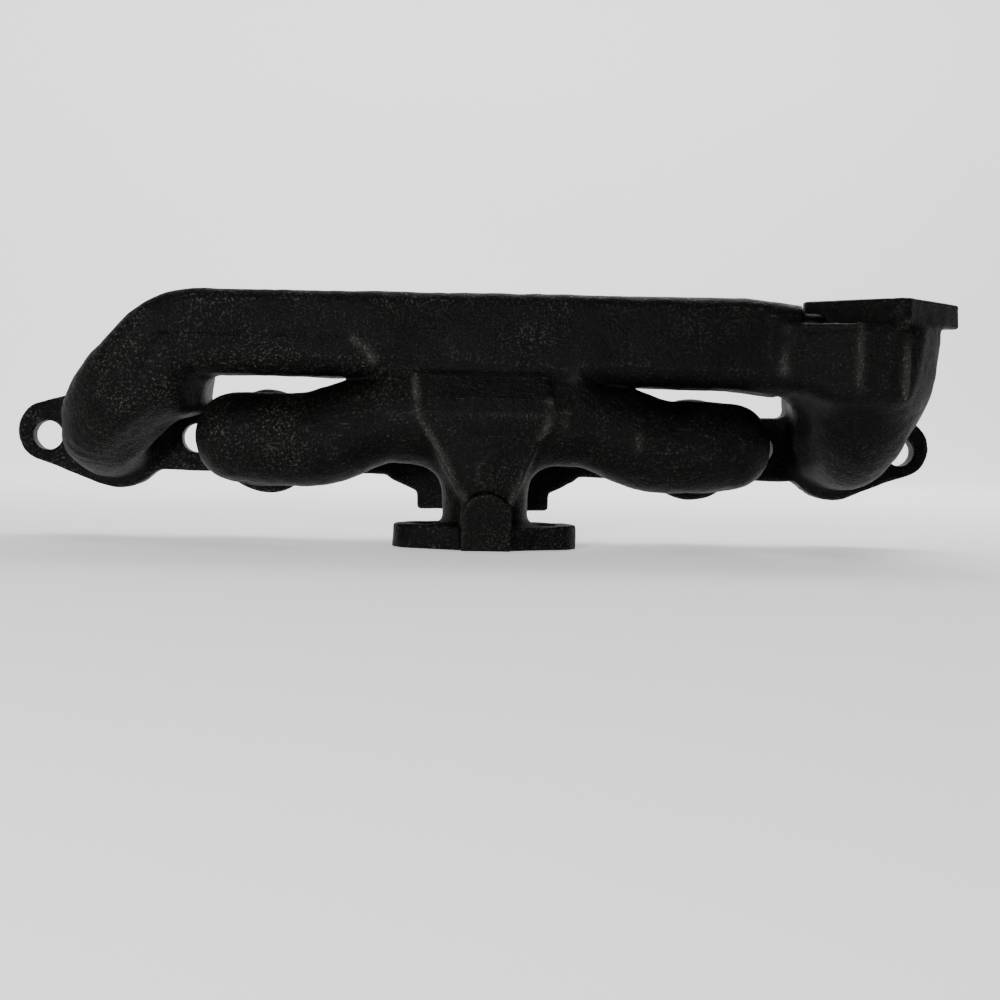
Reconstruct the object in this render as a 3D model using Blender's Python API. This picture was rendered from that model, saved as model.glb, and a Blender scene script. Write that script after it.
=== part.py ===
"""Combined intake and exhaust manifold of a small four-cylinder engine.

The casting carries the exhaust along a log at the top, takes the mixture up from the
carburettor flange at the bottom, and bolts to the cylinder head with a row of five
port flanges. It is built in its casting sections, each one closed hollow solid, which
butt against each other with a hair gap. +X runs along the engine, the head face looks
along +Y, and +Z is up. Everything is in metres.

Places across the depth are given as a distance in front of the head face.
"""
import math

import bmesh
import bpy
import numpy as np
from mathutils import Vector

# ---- driving dimensions -------------------------------------------------------------

GAP = 0.0003                    # between sections that butt against each other
WALL = 0.0045                   # of every passage but the log

# head side: five ports and four studs on one line
FLANGE_THICKNESS = 0.0095
PORT_HEIGHT = 0.040             # above the carburettor face; sets the whole height
END_PORT_X = 0.1495             # sets the length of the whole manifold
INTAKE_TO_END_PORT = 0.061
STUD_HOLE_RADIUS = 0.006
INNER_STUD_LAND = 0.0052        # between an end port's lobe and the inner stud hole
OUTER_STUD_LAND = 0.0013
EAR_RADIUS = 0.0122
STRIP_HALF_HEIGHT = 0.0135
CENTRE_LUG_HALF_WIDTH = 0.0273
CENTRE_LUG_DROP = 0.0138        # of the lug's foot below the flange row
CENTRE_SHOULDER_WIDTH = 0.0112
CENTRE_SHOULDER_DROP = 0.0071

# branches at the head face
END_BRANCH_RADIUS = 0.0165
INTAKE_BRANCH_RADIUS = 0.018
END_LOBE_LIP = 0.0045
INTAKE_LOBE_LIP = 0.0034
CENTRE_BRANCH_HALF_HEIGHT = 0.0155
CENTRE_BRANCH_HALF_WIDTH = 0.020
CENTRE_BRANCH_TOP_HALF_WIDTH = 0.023

# exhaust log
LOG_DEPTH = 0.042               # of its centre line in front of the head face
LOG_HALF_DEPTH = 0.0225
LOG_LEFT_HEIGHT = 0.031
LOG_RIGHT_HEIGHT = 0.036
LOG_CORNER = 0.0095
LOG_CLEARANCE = 0.0008          # between the log's floor and the runners beside the box
LOG_WALL = 0.005
LEFT_ELBOW_REACH = 0.0515       # from the end port back to the log's left end
LEFT_ELBOW_EASE = 0.024         # how far the left elbow runs on before it turns down

# hot-spot box and intake runners
BOX_HALF_WIDTH = 0.0255
BOX_SHOULDER_DROP = 0.0165      # from the tee to where the box's sides start to narrow
BOX_BOTTOM_DROP = 0.0275
TEE_RISE = 0.0075               # of the tee above the line of ports
TEE_DEPTH = 0.0495
TEE_BORE_RADIUS = 0.0115
RUNNER_DEPTH = 0.0485
RUNNER_ROOT_RADIUS = 0.0154
RUNNER_SWING = 0.022            # how wide a runner swings out before it turns to its port

# carburettor side
CARB_DEPTH = 0.050
CARB_FLANGE_THICKNESS = 0.0092
CARB_FLANGE_HALF_DEPTH = 0.022
CARB_BOLT_X = 0.0238
CARB_BOLT_RADIUS = 0.0045
CARB_EAR_RADIUS = 0.0119
CARB_BORE_RADIUS = 0.011
PAD_HALF_WIDTH = 0.0093
PAD_HEIGHT = 0.0118             # of the arched pad above the carburettor flange

# outlet side
OUTLET_TO_END_PORT = 0.0075
OUTLET_DEPTH = 0.0445
OUTLET_BORE_RADIUS = 0.015
OUTLET_HALF_DIAGONAL = 0.034
OUTLET_CORNER_FLAT = 0.0041
OUTLET_RISE = 0.0016            # of the outlet face above the log
OUTLET_THICKNESS = 0.0097
OUTLET_STUD_DISTANCE = 0.0245
OUTLET_STUD_RADIUS = 0.0042
OUTLET_STUD_REACH = 0.012       # of the front stud hole below the flange
RISER_LENGTH = 0.043            # from the end of the log to the outlet's centre
RISER_DROP = 0.0042             # below the log's underside
ELBOW_TO_END_PORT = 0.0015
ELBOW_DEPTH = 0.046
ELBOW_HALF_WIDTH = 0.020
ELBOW_HALF_DEPTH = 0.026

# ---- sizes that follow --------------------------------------------------------------

OUTLET_REACH = OUTLET_HALF_DIAGONAL - OUTLET_CORNER_FLAT / 2
HEAD_FACE_Y = (OUTLET_DEPTH + OUTLET_REACH) / 2     # centres the part front to back
BRANCH_START = FLANGE_THICKNESS + GAP

END_LOBE_RADIUS = END_BRANCH_RADIUS + END_LOBE_LIP
INTAKE_LOBE_RADIUS = INTAKE_BRANCH_RADIUS + INTAKE_LOBE_LIP
INTAKE_PORT_X = END_PORT_X - INTAKE_TO_END_PORT
INNER_STUD_X = END_PORT_X - END_LOBE_RADIUS - INNER_STUD_LAND - STUD_HOLE_RADIUS
OUTER_STUD_X = END_PORT_X + END_LOBE_RADIUS + OUTER_STUD_LAND + STUD_HOLE_RADIUS
END_SPLIT_X = OUTER_STUD_X - EAR_RADIUS * 0.8
STUD_SPLIT_OUT_X = INNER_STUD_X + EAR_RADIUS * 0.8
STUD_SPLIT_IN_X = INNER_STUD_X - EAR_RADIUS * 0.7
INTAKE_SPLIT_X = 2 * INTAKE_PORT_X - STUD_SPLIT_IN_X
CENTRE_SHOULDER_X = CENTRE_LUG_HALF_WIDTH + CENTRE_SHOULDER_WIDTH

OUTLET_X = END_PORT_X + OUTLET_TO_END_PORT
LOG_LEFT_X = LEFT_ELBOW_REACH - END_PORT_X
LOG_RIGHT_X = OUTLET_X - RISER_LENGTH
LOG_FRONT = LOG_DEPTH + LOG_HALF_DEPTH
LOG_BACK = LOG_DEPTH - LOG_HALF_DEPTH

# the log sits on the runners, so its top follows from the heights of the ports and the tee
TEE_HEIGHT = PORT_HEIGHT + TEE_RISE
LOG_SLOPE = (LOG_RIGHT_HEIGHT - LOG_LEFT_HEIGHT) / (LOG_RIGHT_X - LOG_LEFT_X)
LOG_FLOOR = TEE_HEIGHT + RUNNER_ROOT_RADIUS + LOG_CLEARANCE
LOG_TOP = LOG_FLOOR + LOG_LEFT_HEIGHT + LOG_SLOPE * (BOX_HALF_WIDTH - LOG_LEFT_X)
BOX_SHOULDER = TEE_HEIGHT - BOX_SHOULDER_DROP
BOX_BOTTOM = TEE_HEIGHT - BOX_BOTTOM_DROP

OUTLET_FACE = LOG_TOP + OUTLET_RISE
OUTLET_UNDERSIDE = OUTLET_FACE - OUTLET_THICKNESS
ELBOW_X = END_PORT_X + ELBOW_TO_END_PORT
RISER_BOTTOM = LOG_TOP - LOG_RIGHT_HEIGHT - RISER_DROP

BOX_TOP = LOG_TOP - LOG_LEFT_HEIGHT
BOX_BACK = TEE_DEPTH - TEE_BORE_RADIUS - WALL
BOX_FRONT = LOG_FRONT - GAP
NECK_RADIUS = CARB_BORE_RADIUS + WALL + 0.0009
PAD_FRONT = CARB_DEPTH + CARB_FLANGE_HALF_DEPTH + 0.0005
PAD_TOP = CARB_FLANGE_THICKNESS + PAD_HEIGHT

CORNER_STEPS = 5                # segments in each corner of a passage section
ROUND_STEPS = 28                # segments in a drilled hole


# ---- helpers ------------------------------------------------------------------------

def point(x, depth, z):
    """A point given by its depth in front of the head face."""
    return Vector((x, HEAD_FACE_Y - depth, z))


def material(name, colour, roughness, metallic):
    found = bpy.data.materials.get(name)
    if found:
        return found
    made = bpy.data.materials.new(name)
    made.use_nodes = True
    shader = made.node_tree.nodes["Principled BSDF"]
    shader.inputs["Base Color"].default_value = (*colour, 1.0)
    shader.inputs["Roughness"].default_value = roughness
    shader.inputs["Metallic"].default_value = metallic
    return made


def new_object(name, vertices, faces):
    mesh = bpy.data.meshes.new(name)
    mesh.from_pydata([tuple(v) for v in vertices], [], faces)
    work = bmesh.new()
    work.from_mesh(mesh)
    bmesh.ops.recalc_face_normals(work, faces=work.faces)
    work.to_mesh(mesh)
    work.free()
    mesh.shade_smooth()
    mesh.set_sharp_from_angle(angle=math.radians(35))
    made = bpy.data.objects.new(name, mesh)
    bpy.context.scene.collection.objects.link(made)
    return made


def section(name, vertices, faces, shade=0.022):
    """One casting section with its own painted iron."""
    made = new_object(name, vertices, faces)
    paint = material(name + "_paint", (shade, shade * 1.02, shade * 0.95), 0.48, 0.25)
    made.data.materials.append(paint)
    return made


def cutter(name, vertices, faces):
    made = new_object(name, vertices, faces)
    made.hide_render = True
    made.display_type = 'WIRE'
    return made


def combine(target, tool, operation='DIFFERENCE'):
    change = target.modifiers.new(operation.title(), 'BOOLEAN')
    change.operation = operation
    change.solver = 'EXACT'
    change.object = tool


def ring(centre, across, upward, half_across, half_up, corner):
    """Points of a rounded rectangle round a centre, in the plane of two directions."""
    corner = min(corner, half_across, half_up)
    points = []
    for quarter in range(4):
        sign_across = (1, -1, -1, 1)[quarter]
        sign_up = (1, 1, -1, -1)[quarter]
        for step in range(CORNER_STEPS + 1):
            angle = math.radians(90) * (quarter + step / CORNER_STEPS)
            a = sign_across * (half_across - corner) + corner * math.cos(angle)
            b = sign_up * (half_up - corner) + corner * math.sin(angle)
            points.append(centre + across * a + upward * b)
    return points


def smaller(station, wall):
    centre, across, upward, half_across, half_up, corner = station
    inner_corner = max(corner - wall, 0.002)
    return (centre, across, upward, half_across - wall, half_up - wall, inner_corner)


def skin(rings, closed_ends):
    """Vertices and faces of a loft through rings; the ends are filled when asked."""
    count = len(rings[0])
    vertices = [p for one in rings for p in one]
    faces = []
    for level in range(len(rings) - 1):
        low = level * count
        for k in range(count):
            n = (k + 1) % count
            faces.append((low + k, low + n, low + count + n, low + count + k))
    if closed_ends:
        faces.append(tuple(range(count - 1, -1, -1)))
        last = (len(rings) - 1) * count
        faces.append(tuple(range(last, last + count)))
    return vertices, faces


def tube_shape(stations, wall):
    """A hollow tube, open at both ends, through the stations."""
    outer, outer_faces = skin([ring(*s) for s in stations], False)
    inner, inner_faces = skin([ring(*smaller(s, wall)) for s in stations], False)
    shift = len(outer)
    count = 4 * (CORNER_STEPS + 1)
    faces = outer_faces + [tuple(i + shift for i in reversed(f)) for f in inner_faces]
    for base in (0, shift - count):
        for k in range(count):
            n = (k + 1) % count
            faces.append((base + k, base + n, shift + base + n, shift + base + k))
    return outer + inner, faces


def solid_shape(stations):
    return skin([ring(*s) for s in stations], True)


def prism_shape(outline, place, low, high):
    """An outline carried straight from low to high; place turns (a, b, level) into a point."""
    rings = [[place(a, b, level) for a, b in outline] for level in (low, high)]
    return skin(rings, True)


def upright(x, depth, z):
    return point(x, depth, z)


def facing_head(x, z, depth):
    return point(x, depth, z)


def circle(x, y, radius, steps=ROUND_STEPS):
    turns = np.linspace(0, 2 * math.pi, steps, endpoint=False)
    return [(x + radius * math.cos(t), y + radius * math.sin(t)) for t in turns]


def drill_to_head(name, x, z, radius, reach=0.002):
    """A hole cutter along the depth through the head flange."""
    return cutter(name, *prism_shape(circle(x, z, radius), facing_head,
                                     -reach, FLANGE_THICKNESS + reach))


def curve_points(corners, count):
    """Points along one Bezier curve through its four control points."""
    t = np.linspace(0, 1, count)[:, None]
    a, b, c, d = (np.array(corner) for corner in corners)
    return (1 - t) ** 3 * a + 3 * t * (1 - t) ** 2 * b + 3 * t * t * (1 - t) * c + t ** 3 * d


def stations_along(corners, count, start_half, end_half, start_corner, end_corner, easing=1.0):
    """Stations on a Bezier curve whose section grows from one size to the other."""
    path = curve_points(corners, count)
    stations = []
    for k, (x, depth, z) in enumerate(path):
        share = (k / (count - 1)) ** easing
        step = path[min(k + 1, count - 1)] - path[max(k - 1, 0)]
        if k == 0:
            step = np.array(corners[1]) - np.array(corners[0])
        if k == count - 1:
            step = np.array(corners[3]) - np.array(corners[2])
        along = Vector((step[0], -step[1], step[2])).normalized()
        across = along.cross(Vector((0, 0, 1))).normalized()
        upward = across.cross(along)
        half_across = start_half[0] * (1 - share) + end_half[0] * share
        half_up = start_half[1] * (1 - share) + end_half[1] * share
        corner = start_corner * (1 - share) + end_corner * share
        stations.append((point(x, depth, z), across, upward, half_across, half_up, corner))
    return stations


def fan_stations(x, pivot, sizes, shift_x=0.0):
    """Stations that turn about a line along X through the pivot (depth, height).

    Each size is (angle in degrees, centre radius, half radial size, half width, corner);
    at angle 0 the section lies level in front of the pivot, at 90 it stands below it.
    """
    stations = []
    for angle, radius, half_radial, half_width, corner in sizes:
        turn = math.radians(angle)
        outward = Vector((0, -math.cos(turn), -math.sin(turn)))
        centre = point(x + shift_x * math.cos(turn), *pivot) + outward * radius
        stations.append((centre, Vector((1, 0, 0)), outward, half_width, half_radial, corner))
    return stations


def blend(start, end, steps):
    """Rows that go evenly from one tuple of numbers to the other."""
    return [tuple(a + (b - a) * k / (steps - 1) for a, b in zip(start, end))
            for k in range(steps)]


# ---- head flanges -------------------------------------------------------------------

def lobe_height(offset, radius):
    return math.sqrt(max(radius ** 2 - offset ** 2, 0.0))


def ear_slope():
    return (END_LOBE_RADIUS - EAR_RADIUS) / (OUTER_STUD_X - END_PORT_X)


def half_height(x):
    """Half height of the flange row at x, above and below the line of ports."""
    x = abs(x)
    slope = ear_slope()
    tangent = math.sqrt(1 - slope ** 2)
    if x >= OUTER_STUD_X + EAR_RADIUS * slope:
        return lobe_height(x - OUTER_STUD_X, EAR_RADIUS)
    if x >= END_PORT_X + END_LOBE_RADIUS * slope:
        return (END_LOBE_RADIUS - (x - END_PORT_X) * slope) / tangent
    lobes = max(lobe_height(x - END_PORT_X, END_LOBE_RADIUS),
                lobe_height(x - INTAKE_PORT_X, INTAKE_LOBE_RADIUS))
    return max(lobes, STRIP_HALF_HEIGHT)


def plate(name, x_from, x_to, samples=17):
    """A stretch of the flange row between two places along X, and the lower edge's shape."""
    xs = np.linspace(x_from, x_to, samples)
    top = [(x, PORT_HEIGHT + half_height(x)) for x in xs]
    bottom = [(x, PORT_HEIGHT - half_height(x)) for x in xs[::-1]]
    return section(name, *prism_shape(top + bottom, facing_head, 0.0, FLANGE_THICKNESS))


def make_ear(name, side):
    slope = math.asin(ear_slope())
    turns = np.linspace(math.pi / 2 - slope, -math.pi / 2 + slope, 17)
    outline = [(side * (OUTER_STUD_X + EAR_RADIUS * math.cos(t)),
                PORT_HEIGHT + EAR_RADIUS * math.sin(t)) for t in turns]
    inner_x = END_SPLIT_X + GAP
    outline.append((side * inner_x, PORT_HEIGHT - half_height(inner_x)))
    outline.append((side * inner_x, PORT_HEIGHT + half_height(inner_x)))
    ear = section(name, *prism_shape(outline, facing_head, 0.0, FLANGE_THICKNESS))
    combine(ear, drill_to_head(name + "_hole", side * OUTER_STUD_X, PORT_HEIGHT,
                               STUD_HOLE_RADIUS))


def make_head_row():
    sides = (("left", -1), ("right", 1))
    for word, side in sides:
        make_ear(word + "_stud_ear", side)
        end = plate(word + "_end_port_flange", side * END_SPLIT_X, side * STUD_SPLIT_OUT_X, 19)
        bore = END_BRANCH_RADIUS - WALL
        combine(end, drill_to_head(word + "_end_port", side * END_PORT_X, PORT_HEIGHT, bore))
        web = plate(word + "_stud_web", side * (STUD_SPLIT_OUT_X - GAP),
                    side * (STUD_SPLIT_IN_X + GAP), 2)
        combine(web, drill_to_head(word + "_inner_hole", side * INNER_STUD_X, PORT_HEIGHT,
                                   STUD_HOLE_RADIUS))
        intake = plate(word + "_intake_port_flange", side * STUD_SPLIT_IN_X,
                       side * INTAKE_SPLIT_X, 19)
        bore = INTAKE_BRANCH_RADIUS - WALL
        combine(intake, drill_to_head(word + "_intake_port", side * INTAKE_PORT_X, PORT_HEIGHT,
                                      bore))
        plate(word + "_centre_web", side * (INTAKE_SPLIT_X - GAP),
              side * (CENTRE_SHOULDER_X + GAP), 2)
    make_centre_flange()


def make_centre_flange():
    """The middle flange, whose lower edge steps down to a square lug."""
    edge = PORT_HEIGHT - STRIP_HALF_HEIGHT
    half = [(CENTRE_SHOULDER_X, PORT_HEIGHT + STRIP_HALF_HEIGHT),
            (CENTRE_SHOULDER_X, edge),
            (CENTRE_LUG_HALF_WIDTH, edge - CENTRE_SHOULDER_DROP),
            (CENTRE_LUG_HALF_WIDTH, edge - CENTRE_LUG_DROP)]
    crown_half = math.sqrt(END_LOBE_RADIUS ** 2 - STRIP_HALF_HEIGHT ** 2)
    crown = [(x, PORT_HEIGHT + lobe_height(x, END_LOBE_RADIUS))
             for x in np.linspace(-crown_half, crown_half, 13)]
    outline = crown + half + [(-x, z) for x, z in reversed(half)]
    flange = section("centre_port_flange",
                     *prism_shape(outline, facing_head, 0.0, FLANGE_THICKNESS))
    start = centre_branch_stations()[0]
    centre, across, upward, half_across, half_up, corner = smaller(start, WALL)
    stations = []
    for depth in (-0.002, FLANGE_THICKNESS + 0.002):
        middle = point(0, depth, PORT_HEIGHT)
        stations.append((middle, across, upward, half_across, half_up, corner))
    combine(flange, cutter("centre_port", *solid_shape(stations)))


# ---- exhaust side -------------------------------------------------------------------

def log_height_at(x):
    return LOG_LEFT_HEIGHT + LOG_SLOPE * (x - LOG_LEFT_X)


def log_station(x, extra=0.0):
    half_up = log_height_at(x) / 2
    centre = point(x, LOG_DEPTH, LOG_TOP - half_up)
    return (centre, Vector((0, 1, 0)), Vector((0, 0, 1)),
            LOG_HALF_DEPTH + extra, half_up + extra, LOG_CORNER + extra)


def log_envelope(name):
    """The log's outside with the hair gap added, to trim what butts against it."""
    ends = (LOG_LEFT_X, 0.0, LOG_RIGHT_X)
    return cutter(name, *solid_shape([log_station(x, GAP) for x in ends]))


def centre_branch_stations():
    """From the centre port forward and up to the back of the log's underside."""
    pivot_height = LOG_TOP - log_height_at(0.0)
    low = pivot_height - PORT_HEIGHT
    start = (90, low, CENTRE_BRANCH_HALF_HEIGHT, CENTRE_BRANCH_HALF_WIDTH, 0.0125)
    half_depth = (BOX_BACK - BRANCH_START) / 2 - GAP
    end = (0, half_depth + GAP, half_depth - GAP, CENTRE_BRANCH_TOP_HALF_WIDTH, 0.007)
    turning = fan_stations(0.0, (BRANCH_START, pivot_height), blend(start, end, 6))
    centre, across, outward, half_width, half_radial, corner = turning[-1]
    lift = Vector((0, -0.011, 0.010))
    top = (centre + lift, across, outward, half_width, half_radial, corner)
    return turning + [top]


def make_log():
    xs = np.linspace(LOG_LEFT_X, LOG_RIGHT_X, 5)
    log = section("exhaust_log", *tube_shape([log_station(x) for x in xs], LOG_WALL), 0.024)
    path = [smaller(s, WALL) for s in centre_branch_stations()[-2:]]
    combine(log, cutter("centre_branch_bore", *solid_shape(path)))


def make_centre_branch():
    branch = section("centre_exhaust_branch",
                     *tube_shape(centre_branch_stations(), WALL), 0.018)
    combine(branch, log_envelope("log_over_branch"))
    combine(branch, box_envelope("box_over_branch"))


def make_left_elbow():
    start = log_station(LOG_LEFT_X)
    height = LOG_TOP - LOG_LEFT_HEIGHT / 2
    corners = ((LOG_LEFT_X - GAP, LOG_DEPTH, height),
               (LOG_LEFT_X - LEFT_ELBOW_EASE, LOG_DEPTH, height),
               (-END_PORT_X, LOG_DEPTH, PORT_HEIGHT),
               (-END_PORT_X, BRANCH_START, PORT_HEIGHT))
    stations = stations_along(corners, 12, (start[3], start[4]),
                              (END_BRANCH_RADIUS, END_BRANCH_RADIUS),
                              LOG_CORNER, END_BRANCH_RADIUS, 0.9)
    section("left_exhaust_elbow", *tube_shape(stations, WALL), 0.02)


def right_elbow_stations():
    pivot = (BRANCH_START, RISER_BOTTOM - GAP)
    low = pivot[1] - PORT_HEIGHT
    start = (0, ELBOW_DEPTH - BRANCH_START, ELBOW_HALF_DEPTH, ELBOW_HALF_WIDTH, 0.015)
    end = (90, low, END_BRANCH_RADIUS, END_BRANCH_RADIUS, END_BRANCH_RADIUS)
    return fan_stations(END_PORT_X, pivot, blend(start, end, 9), ELBOW_X - END_PORT_X)


def make_right_elbow():
    section("right_exhaust_elbow", *tube_shape(right_elbow_stations(), WALL), 0.02)


def diamond(grow=0.0):
    """The outlet flange's outline: a square on its corner with the corners cut off."""
    reach = OUTLET_REACH + grow
    flat = OUTLET_CORNER_FLAT / 2 + grow * (math.sqrt(2) - 1)
    outline = []
    for turn in range(4):
        cos = (1, 0, -1, 0)[turn]
        sin = (0, 1, 0, -1)[turn]
        for side in (-flat, flat):
            outline.append((OUTLET_X + reach * cos - side * sin,
                            OUTLET_DEPTH + reach * sin + side * cos))
    return outline


def outlet_holes(name, low, high, depths):
    return [cutter(name + "_" + word,
                   *prism_shape(circle(OUTLET_X, OUTLET_DEPTH + way * OUTLET_STUD_DISTANCE,
                                       OUTLET_STUD_RADIUS, 20), upright, low, high))
            for word, way in depths]


def make_outlet_flange():
    flange = section("outlet_flange",
                     *prism_shape(diamond(), upright, OUTLET_UNDERSIDE, OUTLET_FACE), 0.03)
    bore = prism_shape(circle(OUTLET_X, OUTLET_DEPTH, OUTLET_BORE_RADIUS), upright,
                       OUTLET_UNDERSIDE - 0.002, OUTLET_FACE + 0.002)
    combine(flange, cutter("outlet_bore", *bore))
    both = (("front", 1), ("back", -1))
    for hole in outlet_holes("outlet_hole", OUTLET_UNDERSIDE - 0.002, OUTLET_FACE + 0.002, both):
        combine(flange, hole)


def make_riser():
    """The faceted block that turns the log up to the outlet and down to the end port."""
    near = OUTLET_DEPTH + OUTLET_REACH - 0.0015
    left = LOG_RIGHT_X + GAP
    outline = [(left, LOG_BACK), (left, LOG_FRONT), (OUTLET_X - 0.0165, near - 0.001),
               (OUTLET_X + 0.002, near), (OUTLET_X + 0.0075, near - 0.004),
               (OUTLET_X + 0.0185, near - 0.020), (OUTLET_X + 0.0205, OUTLET_DEPTH - 0.006),
               (OUTLET_X + 0.012, LOG_BACK)]
    riser = section("outlet_riser", *prism_shape(outline, upright, RISER_BOTTOM,
                                                 OUTLET_UNDERSIDE - GAP), 0.027)
    edge = riser.modifiers.new("Bevel", 'BEVEL')
    edge.width = 0.0015
    edge.segments = 2
    edge.limit_method = 'ANGLE'
    edge.angle_limit = math.radians(20)

    # the shoulder carries the end of the log up to the flange's tip
    tip = OUTLET_X - OUTLET_REACH
    shoulder = [(left, LOG_BACK + 0.004), (left, LOG_FRONT - 0.004),
                (tip + 0.006, LOG_FRONT - 0.010), (tip + 0.006, LOG_BACK + 0.010)]
    combine(riser, cutter("riser_shoulder", *prism_shape(
        shoulder, upright, OUTLET_UNDERSIDE - 0.004, LOG_TOP - 0.002)), 'UNION')
    combine(riser, cutter("flange_space", *prism_shape(
        diamond(GAP), upright, OUTLET_UNDERSIDE - GAP, OUTLET_FACE + 0.002)))

    end = smaller(log_station(LOG_RIGHT_X), LOG_WALL)
    ceiling = OUTLET_UNDERSIDE - GAP - WALL
    floor = RISER_BOTTOM + WALL
    middle = (ceiling + floor) / 2
    half = (ceiling - floor) / 2
    across = Vector((0, 1, 0))
    up = Vector((0, 0, 1))
    passage = [(end[0] - Vector((0.002, 0, 0)),) + end[1:],
               (end[0] + Vector((0.004, 0, -0.001)), across, up, end[3], end[4] - 0.001, end[5]),
               (point(tip + 0.003, LOG_DEPTH, middle), across, up, end[3], half, end[5]),
               (point(OUTLET_X + 0.002, LOG_DEPTH + 0.002, middle), across, up, 0.015, half, 0.006)]
    combine(riser, cutter("riser_passage", *solid_shape(passage)))
    combine(riser, cutter("riser_bore", *prism_shape(
        circle(OUTLET_X, OUTLET_DEPTH, OUTLET_BORE_RADIUS), upright, middle,
        OUTLET_UNDERSIDE + 0.002)))
    mouth = smaller(right_elbow_stations()[0], WALL)
    lower = (mouth[0] - Vector((0, 0, 0.003)),) + mouth[1:]
    upper = (mouth[0] + Vector((0, 0, 0.012)),) + mouth[1:]
    combine(riser, cutter("riser_mouth", *solid_shape([lower, upper])))
    front = (("front", 1),)
    for hole in outlet_holes("riser_stud", OUTLET_UNDERSIDE - OUTLET_STUD_REACH,
                             OUTLET_UNDERSIDE + 0.002, front):
        combine(riser, hole)


# ---- intake side --------------------------------------------------------------------

def make_runner(word, side):
    """An intake runner from the box out along the arm and back to its port."""
    mirrored = []
    root = (BOX_HALF_WIDTH + GAP, TEE_DEPTH, TEE_HEIGHT)
    span = INTAKE_PORT_X - root[0]
    middle = (root[0] + span * 0.46, RUNNER_DEPTH, PORT_HEIGHT)
    first = (root, (root[0] + span * 0.22, TEE_DEPTH, TEE_HEIGHT),
             (middle[0] - span * 0.19, RUNNER_DEPTH, PORT_HEIGHT), middle)
    second = (middle, (INTAKE_PORT_X + RUNNER_SWING, RUNNER_DEPTH, PORT_HEIGHT),
              (INTAKE_PORT_X, RUNNER_DEPTH - 0.004, PORT_HEIGHT),
              (INTAKE_PORT_X, BRANCH_START, PORT_HEIGHT))
    thick = (INTAKE_BRANCH_RADIUS, INTAKE_BRANCH_RADIUS)
    thin = (RUNNER_ROOT_RADIUS, RUNNER_ROOT_RADIUS)
    arm = stations_along(first, 6, thin, thick, RUNNER_ROOT_RADIUS, INTAKE_BRANCH_RADIUS)
    bend = stations_along(second, 10, thick, thick, INTAKE_BRANCH_RADIUS, INTAKE_BRANCH_RADIUS)
    for centre, across, upward, half_across, half_up, corner in arm[:-1] + bend:
        flip = Vector((side, 1, 1))
        mirrored.append((centre * flip, across * flip, upward * flip,
                         half_across, half_up, corner))
    section(word + "_intake_runner", *tube_shape(mirrored, WALL), 0.019)


def box_outline(grow=0.0):
    """The front view of the middle block: straight sides that narrow to the neck."""
    side = BOX_HALF_WIDTH + grow
    half = [(side, BOX_TOP), (side, BOX_SHOULDER), (NECK_RADIUS + grow, BOX_BOTTOM - grow)]
    return half + [(-x, z) for x, z in reversed(half)]


def box_envelope(name):
    return cutter(name, *prism_shape(box_outline(GAP), facing_head,
                                     BOX_BACK - GAP, BOX_FRONT + GAP))


def make_box():
    """The middle block, where the two runners meet the neck right under the log's floor."""
    box = section("hot_spot_box", *prism_shape(box_outline(), facing_head,
                                               BOX_BACK, BOX_FRONT), 0.021)
    combine(box, log_envelope("log_over_box"))
    bore = prism_shape(circle(TEE_DEPTH, TEE_HEIGHT, TEE_BORE_RADIUS),
                       lambda depth, z, x: point(x, depth, z),
                       -BOX_HALF_WIDTH - 0.002, BOX_HALF_WIDTH + 0.002)
    combine(box, cutter("tee_bore", *bore))
    combine(box, cutter("tee_drop", *prism_shape(
        circle(0, CARB_DEPTH, CARB_BORE_RADIUS), upright, BOX_BOTTOM - 0.002, TEE_HEIGHT)))


def make_neck():
    low = CARB_FLANGE_THICKNESS + GAP
    high = BOX_BOTTOM - GAP
    neck = section("carburettor_neck", *prism_shape(
        circle(0, CARB_DEPTH, NECK_RADIUS, 36), upright, low, high), 0.02)
    combine(neck, cutter("neck_bore", *prism_shape(
        circle(0, CARB_DEPTH, CARB_BORE_RADIUS), upright, low - 0.002, high + 0.002)))


def make_pad():
    """The arched pad in front of the neck, standing on the carburettor flange."""
    low = CARB_FLANGE_THICKNESS + GAP
    spring = PAD_TOP - PAD_HALF_WIDTH
    turns = np.linspace(0, math.pi, 13)
    outline = [(PAD_HALF_WIDTH * math.cos(t), spring + PAD_HALF_WIDTH * math.sin(t))
               for t in turns]
    outline = [(PAD_HALF_WIDTH, low)] + outline + [(-PAD_HALF_WIDTH, low)]
    back = CARB_DEPTH + NECK_RADIUS / 2
    pad = section("riser_pad", *prism_shape(outline, facing_head, back, PAD_FRONT), 0.023)
    combine(pad, cutter("neck_over_pad", *prism_shape(
        circle(0, CARB_DEPTH, NECK_RADIUS + GAP, 36), upright, 0.0, BOX_BOTTOM - GAP)))
    combine(pad, box_envelope("box_over_pad"))


def carb_outline():
    """Two bolt ears and a wide middle, joined by tangent lines."""
    slope = math.asin((CARB_FLANGE_HALF_DEPTH - CARB_EAR_RADIUS) / CARB_BOLT_X)
    outline = []
    for way in (1, -1):
        ear = np.linspace(-math.pi / 2 + slope, math.pi / 2 - slope, 11)
        outline += [(way * (CARB_BOLT_X + CARB_EAR_RADIUS * math.cos(t)),
                     CARB_DEPTH + way * CARB_EAR_RADIUS * math.sin(t)) for t in ear]
        wide = np.linspace(math.pi / 2 - slope, math.pi / 2 + slope, 7)
        outline += [(way * CARB_FLANGE_HALF_DEPTH * math.cos(t),
                     CARB_DEPTH + way * CARB_FLANGE_HALF_DEPTH * math.sin(t)) for t in wide]
    return outline


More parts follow.
